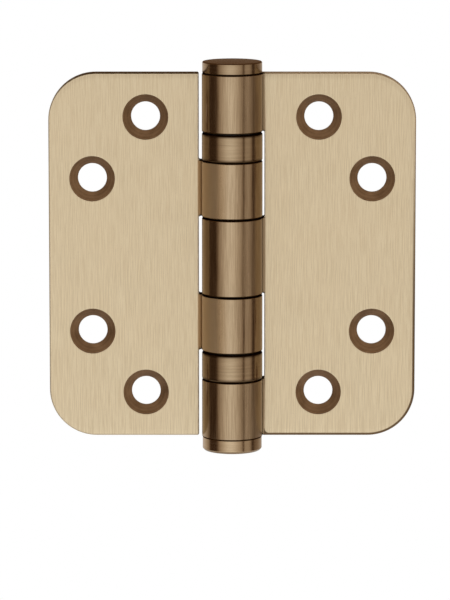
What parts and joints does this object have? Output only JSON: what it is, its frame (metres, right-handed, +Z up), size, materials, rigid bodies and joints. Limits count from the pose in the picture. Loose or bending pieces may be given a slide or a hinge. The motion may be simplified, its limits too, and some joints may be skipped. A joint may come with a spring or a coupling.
{
  "type": "ball bearing hinge",
  "caption": "Butt hinge opened flat, with countersunk leaves rounded at their outer corners, rolled knuckles on a loose pin and ball bearing rings between knuckles.",
  "frame": {"origin": "on the axis of the pin, at mid-height of the leaves", "axes": "+Z up along the pin towards its head, +X from the pin into the frame leaf, +Y from the countersunk front faces into the leaves' backs"},
  "size_m": [0.089, 0.0146, 0.0952],
  "materials": {
    "leaf_bronze": "brushed, antique bronze plated and lacquered steel",
    "pin_bronze": "turned, antique bronze plated steel",
    "bearing_bronze": "drawn and turned, antique bronze plated steel",
    "race_steel": "ground, hardened steel",
    "ball_steel": "polished, hardened steel",
    "cage_nylon": "moulded nylon"
  },
  "bodies": {
    "frame_side": {"frame_leaf": "leaf_bronze", "bottom_tip": "pin_bronze", "upper_bearing_top_race": "race_steel", "lower_bearing_case": "bearing_bronze", "lower_bearing_bottom_race": "race_steel"},
    "door_side": {"door_leaf": "leaf_bronze", "lower_bearing_top_race": "race_steel", "upper_bearing_case": "bearing_bronze", "upper_bearing_bottom_race": "race_steel"},
    "pin": {"hinge_pin": "pin_bronze"},
    "upper_cage": {"upper_bearing_ball_01": "ball_steel", "upper_bearing_ball_02": "ball_steel", "upper_bearing_ball_03": "ball_steel", "upper_bearing_ball_04": "ball_steel", "upper_bearing_ball_05": "ball_steel", "upper_bearing_ball_06": "ball_steel", "upper_bearing_ball_07": "ball_steel", "upper_bearing_ball_08": "ball_steel", "upper_bearing_ball_09": "ball_steel", "upper_bearing_ball_10": "ball_steel", "upper_bearing_ball_11": "ball_steel", "upper_bearing_ball_12": "ball_steel", "upper_bearing_cage": "cage_nylon"},
    "lower_cage": {"lower_bearing_ball_01": "ball_steel", "lower_bearing_ball_02": "ball_steel", "lower_bearing_ball_03": "ball_steel", "lower_bearing_ball_04": "ball_steel", "lower_bearing_ball_05": "ball_steel", "lower_bearing_ball_06": "ball_steel", "lower_bearing_ball_07": "ball_steel", "lower_bearing_ball_08": "ball_steel", "lower_bearing_ball_09": "ball_steel", "lower_bearing_ball_10": "ball_steel", "lower_bearing_ball_11": "ball_steel", "lower_bearing_ball_12": "ball_steel", "lower_bearing_cage": "cage_nylon"}
  },
  "joints": [
    {"name": "leaf_swing", "type": "hinge", "parent": "frame_side", "child": "door_side", "pos_m": [0, 0, 0], "axis": [0, 0, 1], "range_deg": [-90, 180]},
    {"name": "pin_lift", "type": "slide", "parent": "frame_side", "child": "pin", "axis": [0, 0, 1], "range_m": [0, 0.085]},
    {"name": "upper_cage_turn", "type": "hinge", "parent": "frame_side", "child": "upper_cage", "pos_m": [0, 0, 0], "axis": [0, 0, 1], "range_deg": [-45, 90]},
    {"name": "lower_cage_turn", "type": "hinge", "parent": "frame_side", "child": "lower_cage", "pos_m": [0, 0, 0], "axis": [0, 0, 1], "range_deg": [-45, 90]}
  ],
  "couplings": [
    {"joint": "upper_cage_turn", "follows": "leaf_swing", "ratio": 0.5},
    {"joint": "lower_cage_turn", "follows": "leaf_swing", "ratio": 0.5}
  ]
}
